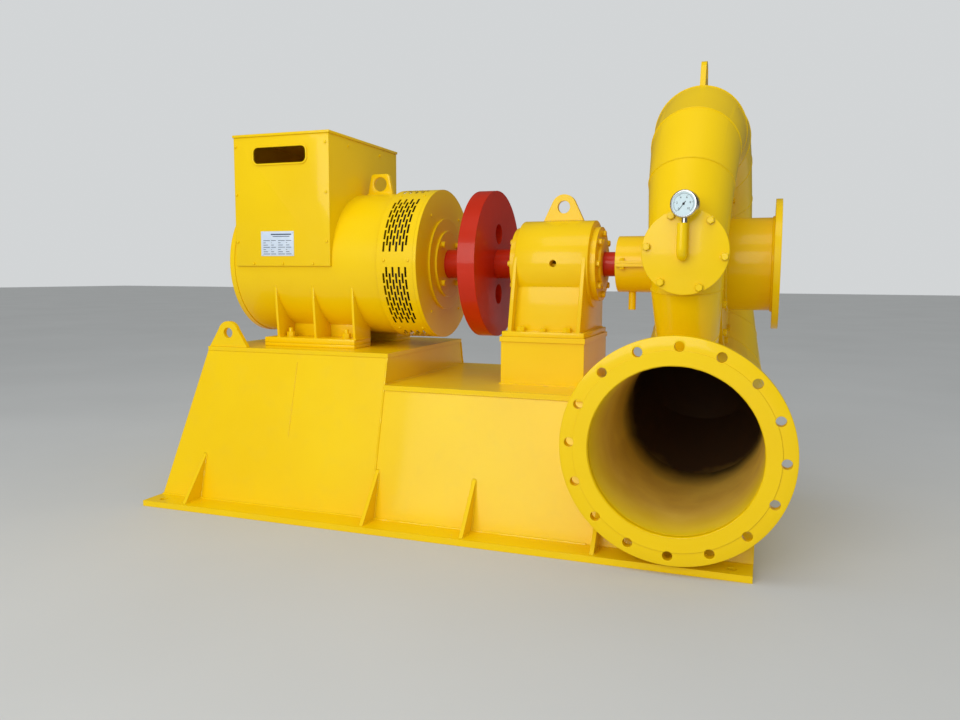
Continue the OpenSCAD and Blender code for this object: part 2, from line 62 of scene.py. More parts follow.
# The place: a pale level floor in soft daylight, with one broad open gate in
# front, a dim roof light over the set, and a plain pale distance.
def lamp(name, spot, target, size, watts):
    """One soft rectangular lamp, turned to its target."""
    bpy.ops.object.light_add(type="AREA", location=spot)
    light = bpy.context.object
    light.name = name
    light.data.shape = "RECTANGLE"
    light.data.size, light.data.size_y = size
    light.data.energy = watts
    turn = (Vector(target) - Vector(spot)).to_track_quat("-Z", "Y")
    light.rotation_euler = turn.to_euler()


lamp("gate", (-0.5, -4.0, 1.8), (0.0, 0, 0.6), (2.6, 2.2), 67)
lamp("roof_light", (0.3, -1.6, 3.6), (0.2, 0, 0.4), (2.6, 1.6), 23)

bpy.ops.object.select_all(action="DESELECT")
bpy.ops.mesh.primitive_plane_add(size=60)
floor = bpy.context.object
floor.name = "floor"
floor_paint = bpy.data.materials.new("floor_screed")
floor_paint.use_nodes = True
nodes, links = floor_paint.node_tree.nodes, floor_paint.node_tree.links
spot = nodes.new("ShaderNodeTexCoord")
patch = nodes.new("ShaderNodeTexNoise")
patch.inputs["Scale"].default_value = 1.1
patch.inputs["Detail"].default_value = 6
tone = nodes.new("ShaderNodeValToRGB")
tone.color_ramp.elements[0].color = (0.56, 0.57, 0.56, 1)
tone.color_ramp.elements[1].color = (0.64, 0.65, 0.64, 1)
links.new(spot.outputs["Object"], patch.inputs["Vector"])
links.new(patch.outputs["Fac"], tone.inputs["Fac"])
links.new(tone.outputs["Color"], nodes["Principled BSDF"].inputs["Base Color"])
nodes["Principled BSDF"].inputs["Roughness"].default_value = 0.8
nodes["Principled BSDF"].inputs["Specular IOR Level"].default_value = 0.2
floor.data.materials.append(floor_paint)

world = bpy.data.worlds.new("daylight")
bpy.context.scene.world = world
world.use_nodes = True
nodes, links = world.node_tree.nodes, world.node_tree.links
light = nodes["Background"]
light.inputs["Color"].default_value = (0.96, 0.98, 1.0, 1)
light.inputs["Strength"].default_value = 0.58
shed = nodes.new("ShaderNodeBackground")
shed.inputs["Color"].default_value = (0.80, 0.84, 0.80, 1)
shed.inputs["Strength"].default_value = 0.11
pale = nodes.new("ShaderNodeBackground")
pale.inputs["Color"].default_value = (0.72, 0.74, 0.75, 1)
pale.inputs["Strength"].default_value = 0.9
ray = nodes.new("ShaderNodeLightPath")
for gate, other in (("Is Glossy Ray", shed), ("Is Camera Ray", pale)):
    split = nodes.new("ShaderNodeMixShader")
    links.new(ray.outputs[gate], split.inputs["Fac"])
    links.new(light.outputs[0], split.inputs[1])
    links.new(other.outputs[0], split.inputs[2])
    light = split
links.new(light.outputs[0], nodes["World Output"].inputs["Surface"])
bpy.context.scene.view_settings.view_transform = "Standard"


# The base frame: plates flame-cut from mild steel, seam-welded into a tall box
# and a low one on one bed plate, and sprayed in gloss yellow with the rest.
def enamel(name, colour, deep, dusty=0.0, rough=0.26):
    """Sprayed gloss enamel: the film is deeper in places a hand wide, has fine
    orange peel, follows the slow waves of the plate and takes some dust."""
    finish = bpy.data.materials.new(name)
    finish.use_nodes = True
    nodes, links = finish.node_tree.nodes, finish.node_tree.links
    shader = nodes["Principled BSDF"]
    place = nodes.new("ShaderNodeTexCoord").outputs["Object"]

    def cloud(scale, detail):
        made = nodes.new("ShaderNodeTexNoise")
        made.inputs["Scale"].default_value = scale
        made.inputs["Detail"].default_value = detail
        links.new(place, made.inputs["Vector"])
        return made.outputs["Fac"]

    depth = nodes.new("ShaderNodeValToRGB")
    depth.color_ramp.elements[0].position = 0.3
    depth.color_ramp.elements[1].position = 0.7
    depth.color_ramp.elements[0].color = (*deep, 1)
    depth.color_ramp.elements[1].color = (*colour, 1)
    links.new(cloud(5.0, 3.0), depth.inputs["Fac"])
    film = depth.outputs["Color"]
    if dusty:
        grime = nodes.new("ShaderNodeMix")
        grime.data_type = "RGBA"
        grime.inputs["B"].default_value = (0.40, 0.32, 0.16, 1)
        amount = nodes.new("ShaderNodeMapRange")
        amount.inputs["From Min"].default_value = 0.52
        amount.inputs["From Max"].default_value = 0.85
        amount.inputs["To Max"].default_value = dusty
        links.new(cloud(23.0, 8.0), amount.inputs["Value"])
        links.new(amount.outputs["Result"], grime.inputs["Factor"])
        links.new(film, grime.inputs["A"])
        film = grime.outputs["Result"]
    links.new(film, shader.inputs["Base Color"])
    gloss = nodes.new("ShaderNodeMapRange")
    gloss.inputs["To Min"].default_value = rough
    gloss.inputs["To Max"].default_value = rough + 0.14
    links.new(cloud(14.0, 4.0), gloss.inputs["Value"])
    links.new(gloss.outputs["Result"], shader.inputs["Roughness"])
    peel = nodes.new("ShaderNodeBump")
    peel.inputs["Strength"].default_value = 0.16
    peel.inputs["Distance"].default_value = 0.0006
    links.new(cloud(260.0, 2.0), peel.inputs["Height"])
    wave = nodes.new("ShaderNodeBump")
    wave.inputs["Strength"].default_value = 0.3
    wave.inputs["Distance"].default_value = 0.004
    links.new(cloud(9.0, 1.0), wave.inputs["Height"])
    edge = nodes.new("ShaderNodeBevel")
    edge.samples = 4
    edge.inputs["Radius"].default_value = 0.0022
    links.new(edge.outputs["Normal"], wave.inputs["Normal"])
    links.new(wave.outputs["Normal"], peel.inputs["Normal"])
    links.new(peel.outputs["Normal"], shader.inputs["Normal"])
    shader.inputs["Coat Weight"].default_value = 0.22
    shader.inputs["Coat Roughness"].default_value = 0.08
    shader.inputs["Specular IOR Level"].default_value = 0.2
    return finish


yellow = enamel("yellow_enamel", (0.95, 0.64, 0.0006), (0.92, 0.605, 0.0006))
yellow_base = enamel("yellow_enamel_base", (0.95, 0.64, 0.0006),
                     (0.92, 0.60, 0.0006), dusty=0.05)


def coat(finish, *names):
    """Give carried-over solids their finish."""
    for name in names:
        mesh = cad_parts[name].data
        mesh.materials.clear()
        mesh.materials.append(finish)


def choose(*pieces):
    """Select these pieces and nothing else, with the first one active."""
    bpy.ops.object.select_all(action="DESELECT")
    for piece in pieces:
        piece.select_set(True)
    bpy.context.view_layer.objects.active = pieces[0]


def start(add, **how):
    """Add a primitive with nothing else selected and its place in its mesh."""
    bpy.ops.object.select_all(action="DESELECT")
    add(**how)
    bpy.ops.object.transform_apply(location=True, rotation=True, scale=True)
    return bpy.context.object


def pick(piece, kind, wanted):
    """Open a piece for editing with only the wanted parts of it selected."""
    choose(piece)
    bpy.ops.object.mode_set(mode="EDIT")
    bpy.ops.mesh.select_mode(type=kind)
    bpy.ops.mesh.select_all(action="DESELECT")
    mesh = bmesh.from_edit_mesh(piece.data)
    parts = {"FACE": mesh.faces, "EDGE": mesh.edges, "VERT": mesh.verts}[kind]
    for part in parts:
        if wanted(part):
            part.select_set(True)
    mesh.select_flush_mode()
    bmesh.update_edit_mesh(piece.data)


def close_edit():
    """Put the piece down again after an edit."""
    bpy.ops.object.mode_set(mode="OBJECT")


def join(parts):
    """Join several objects into one."""
    choose(*parts)
    if len(parts) > 1:
        bpy.ops.object.join()
    return bpy.context.object


def apply(piece, kind, **how):
    """Run one modifier over a piece and apply it."""
    change = piece.modifiers.new(kind.lower(), kind)
    for name, value in how.items():
        setattr(change, name, value)
    bpy.context.view_layer.objects.active = piece
    bpy.ops.object.modifier_apply(modifier=change.name)
    return piece


def fit(piece, name, *stands_for, finish=yellow, slot="yellow_paint",
        crease=38):
    """Name a finished piece, paint it and fix it to the part that stands
    still, in the place of the solids it stands for."""
    piece.name = piece.data.name = name
    if not piece.data.materials:
        piece.data.materials.append(finish)
    choose(piece)
    bpy.ops.object.shade_smooth_by_angle(angle=math.radians(crease))
    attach(piece, "root")
    if stands_for:
        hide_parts(*stands_for)


def weld_run(start_at, end_at, radius):
    """A straight run of weld: a rod cut into short lengths."""
    p, q = Vector(start_at) * mm, Vector(end_at) * mm
    run = q - p
    rod = start(bpy.ops.mesh.primitive_cylinder_add, vertices=8,
                radius=radius * mm, depth=run.length, location=(p + q) / 2,
                rotation=run.to_track_quat("Z", "Y").to_euler())
    pick(rod, "EDGE", lambda e: (e.verts[0].co - e.verts[1].co).length
         > run.length * 0.9)
    bpy.ops.mesh.subdivide(number_cuts=max(2, int(run.length / 0.006)))
    close_edit()
    return rod


def ripple(piece, high, grain):
    """Let the surface of a weld rise and fall as it was laid."""
    clouds = bpy.data.textures.new("ripple", "CLOUDS")
    clouds.noise_scale = grain * mm
    return apply(piece, "DISPLACE", texture=clouds, strength=high * mm)


coat(yellow_base, "base_plate", "tall_base", "low_base", "tall_deck",
     "low_deck", "base_gussets", "base_lugs")

both = (-1, 1)
foot_y, side_lean = 382.0, 0.26
plate_z, wall_top, low_top, low_deck_z = 16.0, 430.0, 347.0, 359.0
end_x0, step_x, bay_x = -812.0, -138.0, 438.0
gusset_x, gusset_thick = (-689, -136, 137, 460), 10
gusset_reach, gusset_top = 60, 136
butt_x, butt_top, butt_low = -416, 408, 205


def wall_y(z):
    """Half width between the leaning side walls at height z."""
    return foot_y - side_lean * (z - plate_z)


welds = []
for s in both:
    toe = s * foot_y
    under_deck = s * (wall_y(low_top) + 1)
    welds.append(weld_run((end_x0, toe, plate_z), (bay_x, toe, plate_z), 3.8))
    welds.append(weld_run((step_x, toe, plate_z),
                          (step_x, s * wall_y(wall_top), wall_top), 3.2))
    welds.append(weld_run((step_x, under_deck, low_top),
                          (bay_x, under_deck, low_top), 2.6))
    for x in gusset_x:
        for flank in (x, x + gusset_thick):
            tip = s * (foot_y + gusset_reach)
            welds.append(weld_run((flank, toe, plate_z),
                                  (flank, tip, plate_z), 2.6))
            welds.append(weld_run((flank, toe, plate_z),
                                  (flank, s * wall_y(gusset_top), gusset_top),
                                  2.4))
welds.append(weld_run((end_x0, -foot_y, plate_z), (end_x0, foot_y, plate_z),
                      3.8))
welds.append(weld_run((step_x, -wall_y(low_deck_z), low_deck_z),
                      (step_x, wall_y(low_deck_z), low_deck_z), 3))
fit(ripple(join(welds), 2.2, 5), "base_welds", finish=yellow_base)
butt = [weld_run((butt_x, s * wall_y(butt_top), butt_top),
                 (butt_x, s * wall_y(butt_low), butt_low), 1.3) for s in both]
fit(ripple(join(butt), 1.0, 4), "wall_butt_welds", finish=yellow_base)


# The alternator: a rolled steel frame between a cast rear cover and a welded
# ring at the shaft end, all sprayed in one colour.
coat(yellow, "generator_body", "generator_rear_cover", "generator_front_cover",
     "generator_bearing_cap")

shaft_z = 686.0
to_turbine, to_rear, along_z = (1, 0, 0), (-1, 0, 0), (0, 0, 0)


def aim(spot, direction):
    """Matrix that stands a pattern's +Z on a spot, along a direction."""
    turn = Vector(direction).to_track_quat("Z", "Y").to_matrix().to_4x4()
    return Matrix.Translation(Vector(spot) * mm) @ turn


def round_bar(radius, spot, axis, deep, sides=48):
    """A plain round bar or disc with its middle on a spot."""
    return start(bpy.ops.mesh.primitive_cylinder_add, vertices=sides,
                 radius=radius * mm, depth=deep * mm, rotation=axis,
                 location=Vector(spot) * mm)


def soften(piece, wanted, wide, steps=2):
    """Take the sharpness off the wanted edges."""
    pick(piece, "EDGE", wanted)
    bpy.ops.mesh.bevel(offset=wide * mm, segments=steps)
    close_edit()
    return piece


def hex_bolt(across, high):
    """Hexagon head with a chamfered crown on a round washer, at the origin."""
    washer = round_bar(across * 0.63, (0, 0, high * 0.1), along_z, high * 0.2,
                       20)
    head = round_bar(across / math.sqrt(3), (0, 0, high * 0.54), along_z,
                     high * 0.68, 6)
    pick(head, "FACE", lambda f: f.normal.z > 0.9)
    bpy.ops.mesh.extrude_region_move()
    bpy.ops.transform.translate(value=(0, 0, high * 0.12 * mm))
    bpy.ops.transform.resize(value=(0.84, 0.84, 1))
    bpy.ops.mesh.inset(thickness=across * 0.05 * mm)
    close_edit()
    return join([head, washer])


def pan_screw(wide):
    """Small dome-headed screw at the origin."""
    screw = round_bar(wide / 2, (0, 0, wide * 0.2), along_z, wide * 0.4, 16)
    return soften(screw, lambda e: min(v.co.z for v in e.verts)
                  > wide * 0.3 * mm, wide * 0.15, 3)


def set_out(pattern, places):
    """Copy a pattern to each place and join the copies."""
    copies = []
    for place in places:
        copy = pattern.copy()
        copy.data = pattern.data.copy()
        copy.data.transform(place)
        bpy.context.collection.objects.link(copy)
        copies.append(copy)
    return join(copies)


def round_shaft(x, radius, angles, direction=to_turbine):
    """Places on a circle round the shaft; zero is up, 90 is the inlet side."""
    return [aim((x, -radius * math.sin(math.radians(a)),
                 shaft_z + radius * math.cos(math.radians(a))), direction)
            for a in angles]


bolt_small = hex_bolt(12, 7)
bolt_mid = hex_bolt(15, 10)
screw = pan_screw(8)
cap_x, cap_circle = -68, 78
cover_x, cover_circle = -80, 172
rear_x, rear_circle = -687, 190
eighths = range(0, 360, 45)
fit(set_out(bolt_mid, round_shaft(cap_x, cap_circle, eighths[1::2])),
    "cap_bolts")
fit(set_out(screw, round_shaft(cover_x, cover_circle, (38, 142, 218, 322))),
    "cover_bolts")
fit(set_out(bolt_small, round_shaft(rear_x, rear_circle, eighths, to_rear)),
    "rear_cover_bolts")


# The feet: thick plates on machined pads, each with three leaning ribs and an
# inner web welded up to the frame, held down by studs with nuts.
def block(low, high, round_off=1.2):
    """Plate or box cut to its corners, with its sharp edges taken off."""
    low, high = Vector(low), Vector(high)
    made = start(bpy.ops.mesh.primitive_cube_add, size=1,
                 scale=(high - low) * mm, location=(low + high) / 2 * mm)
    return soften(made, lambda e: True, round_off)


def hex_nut(across, high, stud):
    """Hexagon nut on a washer with the rounded end of its stud showing."""
    nut = hex_bolt(across, high)
    end = round_bar(across * 0.3, (0, 0, (high + stud) / 2), along_z,
                    high + stud, 16)
    soften(end, lambda e: min(v.co.z for v in e.verts) > high * mm,
           across * 0.09)
    return join([nut, end])


foot_x0, foot_x1, foot_in, foot_out = -585.0, -284.0, 90, 190
pad_z, foot_z, foot_top = 442, 452.0, 468.0
rib_x, rib_thick, rib_top, rib_lean = (-545.0, -419.5, -292.0), 8, 620, 6
web_out, web_top = 101, 515
frame_y, frame_z0, frame_z1 = 185, 590, 622
nut_x, nut_y = (-520, -331), 150
pads, feet, foot_welds = [], [], []
for s in both:
    y0, y1 = sorted((s * foot_in, s * foot_out))
    pads.append(block((foot_x0, y0, pad_z), (foot_x1, y1, foot_z)))
    feet.append(block((foot_x0, y0, foot_z), (foot_x1, y1, foot_top)))
    web_y0, web_y1 = sorted((s * foot_in, s * web_out))
    feet.append(block((rib_x[0], web_y0, foot_top - 1),
                      (rib_x[2], web_y1, web_top)))
    for x in rib_x:
        rib = block((x, y0, foot_top - 1), (x + rib_thick, y1, rib_top))
        for at_foot, lean in ((True, -rib_lean), (False, rib_lean)):
            pick(rib, "VERT", lambda v: abs(v.co.y) > (foot_out - 5) * mm
                 and (v.co.z < web_top * mm) == at_foot)
            bpy.ops.transform.translate(value=(0, s * lean * mm, 0))
            close_edit()
        feet.append(rib)
        for flank in (x, x + rib_thick):
            foot_welds.append(
                weld_run((flank, s * (web_out + 1), foot_top),
                         (flank, s * (foot_out - rib_lean), foot_top), 2.6))
            foot_welds.append(
                weld_run((flank, s * frame_y, frame_z0),
                         (flank, s * (foot_out + rib_lean), frame_z1), 2.4))
fit(join(pads), "alternator_pads", "generator_pads")
fit(join(feet), "alternator_feet", "generator_feet")
fit(ripple(join(foot_welds), 1.6, 5), "foot_welds")
nut_foot, up = hex_nut(21, 15, 12), (0, 0, 1)
foot_nuts = [aim((x, s * nut_y, foot_top), up) for x in nut_x for s in both]
fit(set_out(nut_foot, foot_nuts), "alternator_nuts")


# The lifting eye on the frame: a tapered plate with rounded corners and a
# large hole, welded on along the top.
def middle(part):
    """Middle of an edge or a face."""
    return sum((v.co for v in part.verts), Vector()) / len(part.verts)


def span(edge, axis):
    """How far an edge reaches along an axis."""
    return abs(getattr(edge.verts[0].co - edge.verts[1].co, axis))


def carve(piece, cutter):
    """Cut one closed shape out of another."""
    apply(piece, "BOOLEAN", object=cutter, operation="DIFFERENCE",
          solver="EXACT")
    bpy.data.objects.remove(cutter)
    return piece


eye_x, eye_z, eye_hole_z, eye_hole = -290.5, 922.0, 924.5, 21
eye_foot, eye_head, eye_thick, eye_tall = 84.0, 57.0, 14.0, 66.0
along_y = (math.pi / 2, 0, 0)
eye_plate = start(bpy.ops.mesh.primitive_cube_add, size=1,
                  scale=Vector((eye_foot, eye_thick, eye_tall)) * mm,
                  location=Vector((eye_x, 0, eye_z)) * mm)
pick(eye_plate, "FACE", lambda f: f.normal.z > 0.9)
bpy.ops.transform.resize(value=(eye_head / eye_foot, 1, 1))
close_edit()
soften(eye_plate, lambda e: middle(e).z > eye_z * mm
       and span(e, "y") > eye_thick / 2 * mm, 9, 6)
carve(eye_plate, round_bar(eye_hole, (eye_x, 0, eye_hole_z), along_y, 40))
apply(eye_plate, "BEVEL", width=1.2 * mm, segments=2, limit_method="ANGLE")
eye_end0, eye_end1, eye_seam = -332, -249, 894
eye_welds = [weld_run((eye_end0, s * eye_thick / 2, eye_seam),
                      (eye_end1, s * eye_thick / 2, eye_seam), 3)
             for s in both]
fit(join([eye_plate, ripple(join(eye_welds), 1.6, 5)]), "alternator_eye",
    "generator_lug")


# The grille: thin sheet rolled to a ring and punched with eight staggered
# rows of slots in six fields, screwed over the fan at the shaft end.
ring_r, ring_x0, ring_x1, ring_thick = 216.0, -200.0, -90.0, 1.6
row_x, row_pitch, row_count, slot_wide = -178.6, 9.6, 8, 6.0
field_a, slot_step, slot_a, slot_count = 8.3, 9.2, 7.4, 5
along_x = (0, math.pi / 2, 0)
grille = start(bpy.ops.mesh.primitive_cylinder_add, vertices=120,
               radius=ring_r * mm, depth=(ring_x1 - ring_x0) * mm,
               end_fill_type="NOTHING", rotation=along_x,
               location=((ring_x0 + ring_x1) / 2 * mm, 0, shaft_z * mm))


def score(point, normal):
    """Score the sheet along a plane so that a punch edge can lie on it."""
    pick(grille, "FACE", lambda f: True)
    bpy.ops.mesh.bisect(plane_co=Vector(point) * mm, plane_no=normal)
    close_edit()


for row in range(row_count):
    for edge_x in (-slot_wide / 2, slot_wide / 2):
        score((row_x + row * row_pitch + edge_x, 0, 0), to_turbine)
# A plane through the shaft line scores two opposite fields at once.
for field in range(3):
    for shift in (0, 0.5):
        for i in range(slot_count):
            for end in (0, slot_a):
                a = math.radians(field * 60 + field_a
                                 + (i + shift) * slot_step + end)
                score((0, 0, shaft_z), (0, math.sin(a), math.cos(a)))


def in_slot(face):
    """True for a face that the punch takes out."""
    centre = middle(face) / mm
    row = round((centre.x - row_x) / row_pitch)
    off_row = abs(centre.x - row_x - row * row_pitch)
    if not 0 <= row < row_count or off_row > slot_wide / 2:
        return False
    angle = math.degrees(math.atan2(centre.z - shaft_z, -centre.y))
    along = (angle - field_a - row % 2 * slot_step / 2) % 60
    return along < slot_count * slot_step and along % slot_step < slot_a


pick(grille, "FACE", in_slot)
bpy.ops.mesh.delete(type="FACE")
close_edit()
apply(grille, "SOLIDIFY", thickness=ring_thick * mm, offset=-1)
fit(grille, "grille_sheet", "grille_ring")
grille_screws, seat_r, seat_x, seat_a = [], ring_r - 0.5, (-176.8, -103.4), 2
for field in range(6):
    a = math.radians(field * 60 + seat_a)
    for x in seat_x:
        grille_screws.append(aim((x, -seat_r * math.cos(a),
                                  shaft_z + seat_r * math.sin(a)),
                                 (0, -math.cos(a), math.sin(a))))
fit(set_out(screw, grille_screws), "grille_screws")


# What shows dark through the slots: the varnished end winding of the stator,
# a fat ring of taped coils laid round the bore, coloured near black as painted
# shade inside the frame.
def plain(name, dark, light, scale, rough, metallic=0.0, bump=0.2,
          deep=0.0005):
    """A finish with one scale of grain in its colour, gloss and relief."""
    finish = bpy.data.materials.new(name)
    finish.use_nodes = True
    nodes, links = finish.node_tree.nodes, finish.node_tree.links
    shader = nodes["Principled BSDF"]
    shader.inputs["Metallic"].default_value = metallic
    place = nodes.new("ShaderNodeTexCoord").outputs["Object"]
    grain = nodes.new("ShaderNodeTexNoise")
    grain.inputs["Scale"].default_value = scale
    grain.inputs["Detail"].default_value = 6
    links.new(place, grain.inputs["Vector"])
    tone = nodes.new("ShaderNodeValToRGB")
    tone.color_ramp.elements[0].position = 0.3
    tone.color_ramp.elements[1].position = 0.7
    tone.color_ramp.elements[0].color = (*dark, 1)
    tone.color_ramp.elements[1].color = (*light, 1)
    links.new(grain.outputs["Fac"], tone.inputs["Fac"])
    links.new(tone.outputs["Color"], shader.inputs["Base Color"])
    gloss = nodes.new("ShaderNodeMapRange")
    gloss.inputs["To Min"].default_value = rough
    gloss.inputs["To Max"].default_value = rough + 0.15
    links.new(grain.outputs["Fac"], gloss.inputs["Value"])
    links.new(gloss.outputs["Result"], shader.inputs["Roughness"])
    relief = nodes.new("ShaderNodeBump")
    relief.inputs["Strength"].default_value = bump
    relief.inputs["Distance"].default_value = deep
    links.new(grain.outputs["Fac"], relief.inputs["Height"])
    links.new(relief.outputs["Normal"], shader.inputs["Normal"])
    return finish


# Near-black varnish colour: painted shade seen through the grille slots.
shade_varnish = plain("winding_varnish_painted_shade", (0.012, 0.006, 0.004),
                (0.03, 0.014, 0.008), 180, 0.5)
winding_r, winding_thick, winding_x = 158, 34, -158
winding = start(bpy.ops.mesh.primitive_torus_add, major_radius=winding_r * mm,
                minor_radius=winding_thick * mm, major_segments=120,
                minor_segments=14, rotation=along_x,
                location=(winding_x * mm, 0, shaft_z * mm))
ripple(winding, 12, 9)
fit(winding, "end_winding", finish=shade_varnish, slot="cast_steel")


# The rating plate: bare enamelled sheet with a heading bar, ruled lines in two
# columns and four rivets.
plate_blue = plain("plate_enamel", (0.60, 0.70, 0.83), (0.68, 0.77, 0.88), 60,
                   0.35)
rating_low, rating_high = Vector((-571, -217.5, 706)), Vector((-461, -216, 777))
fit(block(rating_low, rating_high, 0.5), "rating_plate", "nameplate",
    finish=plate_blue, slot="bare_plate")
ink = plain("plate_rule", (0.03, 0.05, 0.10), (0.06, 0.09, 0.16), 300, 0.5)
heading = [(34, 102, 62, 3.4), (40, 96, 56, 1.8)]
columns = ((8, 30), (34, 50), (58, 80), (84, 102))
first_line, line_pitch, shorter = 6, 6.4, 7
ruled = [(x0, x1 - row % 3 * shorter, first_line + row * line_pitch, 1.5)
         for row in range(7) for x0, x1 in columns]
rules = []
for x0, x1, z, thick in heading + ruled:
    line = start(bpy.ops.mesh.primitive_cube_add, size=1,
                 scale=((x1 - x0) * mm, 0.4 * mm, thick * mm),
                 location=(rating_low + Vector(((x0 + x1) / 2, -0.1, z))) * mm)
    rules.append(soften(line, lambda e: True, 0.08, 1))
fit(join(rules), "plate_rules", finish=ink, slot="bare_plate")
rivet, rivet_in, to_front = pan_screw(4), 4, (0, -1, 0)
corners = [aim((x, rating_low.y, z), to_front)
           for x in (rating_low.x + rivet_in, rating_high.x - rivet_in)
           for z in (rating_low.z + rivet_in, rating_high.z - rivet_in)]
fit(set_out(rivet, corners), "plate_rivets", finish=plate_blue,
    slot="bare_plate")


# The terminal box: folded sheet under a lipped lid, saddled on the frame, with
# a cable slot that has a rounded lip, and panel screws down both edges.
box_x0, box_x1, box_y, box_z0, box_z1 = -659.0, -343.5, 216.0, 677.0, 1046.0
sheet, hollow_z, lid_thick, lid_over = 3, 905, 8, 3
box = block((box_x0, -box_y, box_z0), (box_x1, box_y, box_z1), 1.6)
carve(box, block((box_x0 + sheet, sheet - box_y, hollow_z),
                 (box_x1 - sheet, box_y - sheet, box_z1 - sheet), 1))
slot_x, slot_z, slot_long, slot_tall, slot_corner = -504, 992, 174, 47, 15
opening = start(bpy.ops.mesh.primitive_cube_add, size=1,
                scale=Vector((slot_long, 20, slot_tall)) * mm,
                location=Vector((slot_x, -box_y, slot_z)) * mm)
soften(opening, lambda e: span(e, "y") > 10 * mm, slot_corner, 8)
carve(box, opening)
fit(box, "box_shell", "terminal_box")
fit(block((box_x0 - lid_over, -box_y - lid_over, box_z1),
          (box_x1 + lid_over, box_y + lid_over, box_z1 + lid_thick), 2),
    "box_lid", "terminal_lid")

lip_over, lip_wide, lip_thick, lip_y = 9, 5.5, 3, -217.5
rim = start(bpy.ops.mesh.primitive_plane_add, size=1)
rim.data.transform(Matrix.Diagonal(((slot_long + lip_over) * mm,
                                    (slot_tall + lip_over) * mm, 1, 1)))
rim.data.transform(aim((slot_x, lip_y, slot_z), to_front))
pick(rim, "VERT", lambda v: True)
bpy.ops.mesh.bevel(offset=(slot_corner + lip_over / 2) * mm, segments=6,
                   affect="VERTICES")
bpy.ops.mesh.select_mode(type="FACE")
bpy.ops.mesh.select_all(action="SELECT")
bpy.ops.mesh.inset(thickness=lip_wide * mm)
bpy.ops.mesh.delete(type="FACE")
close_edit()
apply(rim, "SOLIDIFY", thickness=lip_thick * mm, offset=0)
apply(rim, "BEVEL", width=1.2 * mm, segments=3)
fit(rim, "slot_lip")

screw_columns, screw_rows = (-652, -354), (1021, 884, 747)
saddle_screws, saddle_z = (-599, -500, -400), 684
end_screws, end_z, to_back = (-105, 97), 1026, (0, 1, 0)
box_screws = [aim((x, y, z), way) for y, way in ((-box_y, to_front),
                                                 (box_y, to_back))
              for x in screw_columns for z in screw_rows]
box_screws += [aim((x, -box_y, saddle_z), to_front) for x in saddle_screws]
box_screws += [aim((box_x1, y, end_z), to_turbine) for y in end_screws]
fit(set_out(screw, box_screws), "box_screws")


# The shaft line: turned steel shaft and sleeve and a cast flywheel, painted
# signal red as parts that turn.
red = enamel("red_enamel", (0.58, 0.022, 0.002), (0.50, 0.018, 0.001),
             rough=0.3)
coat(red, "shaft", "flywheel", "coupling_sleeve")


# The bearing pedestal: a barrel between splayed side plates on a foot plate,
# all welded, with leaning panels and bolted covers that have a raised centre.
coat(yellow, "pedestal_box", "bearing_covers", "bearing_lug")


def leaning(low, high, top_half):
    """A block along the shaft line whose two sides lean to a narrower top."""
    made = block(low, high)
    pick(made, "VERT", lambda v: v.co.z > (high[2] - 2) * mm)
    bpy.ops.transform.resize(value=(1, top_half / high[1], 1))
    close_edit()
    return made


def tube(x0, x1, outer, bore):
    """A turned ring on the shaft line, bored through, with soft edges."""
    ring = round_bar(outer, ((x0 + x1) / 2, 0, shaft_z), along_x, x1 - x0, 96)
    pick(ring, "FACE", lambda f: abs(f.normal.x) > 0.9)
    bpy.ops.mesh.inset(thickness=(outer - bore) * mm)
    bpy.ops.mesh.bridge_edge_loops()
    close_edit()
    return apply(ring, "BEVEL", width=1.2 * mm, segments=2,
                 limit_method="ANGLE")


barrel_x0, barrel_x1, barrel_r = 170.0, 372.0, 120.0
oil_x, oil_r = 278, 9.5
house_x0, house_x1, house_y, house_low, house_z = 146, 373, 150, 489, 503.0
panel_y, panel_top = 124, 91
cheek_x = (barrel_x0 - 3, barrel_x1 - 16)
cheek_thick, cheek_z, cheek_top, cheek_splay = 11, 704.5, 118.6, 5
boss_out, boss_bore, end_x1, end_x2 = 68, 35, 151, 388
barrel = round_bar(barrel_r, ((barrel_x0 + barrel_x1) / 2, 0, shaft_z),
                   along_x, barrel_x1 - barrel_x0)
soften(barrel, lambda e: span(e, "x") < 1e-6, 1.5)
carve(barrel, round_bar(oil_r, (oil_x, -60, shaft_z), along_y, 200))
house = [barrel, block((house_x0, -house_y, house_low),
                       (house_x1, house_y, house_z)),
         leaning((barrel_x0, -panel_y, house_z - 1),
                 (barrel_x1 - 10, panel_y, shaft_z), panel_top)]
for x in cheek_x:
    cheek = leaning((x, -house_y, house_z - 1),
                    (x + cheek_thick, house_y, cheek_z), cheek_top)
    pick(cheek, "VERT", lambda v: v.co.z < (house_z + 4) * mm)
    bpy.ops.transform.translate(value=(-cheek_splay * mm, 0, 0))
    close_edit()
    house.append(cheek)
fit(join(house), "bearing_house", "bearing_housing")
fit(join([tube(end_x1 - 4, end_x1 + 1, boss_out, boss_bore),
          tube(end_x2 - 1, end_x2 + 8, boss_out, boss_bore)]),
    "bearing_bosses")
house_welds, seam_x0, seam_x1, seam_y = [], 142, 372, 151
for s in both:
    for x in cheek_x:
        for flank in (x - cheek_splay, x - cheek_splay + cheek_thick):
            house_welds.append(
                weld_run((flank, s * (panel_y + 1), house_z),
                         (flank, s * (house_y - 1), house_z), 2.4))
    house_welds.append(weld_run((barrel_x0 + 8, s * panel_y, house_z),
                                (barrel_x1 - 16, s * panel_y, house_z), 2.6))
    house_welds.append(weld_run((seam_x0, s * seam_y, low_deck_z),
                                (seam_x1, s * seam_y, low_deck_z), 3))
for x in (seam_x0 - 1, seam_x1 + 2):
    house_welds.append(weld_run((x, -house_y, low_deck_z),
                                (x, house_y, low_deck_z), 3))
fit(ripple(join(house_welds), 1.8, 5), "bearing_welds")
end_circle, foot_bolt_x, foot_bolt_y = 83, (197, 324), 138
dowel_x, dowel_y = 259, 139
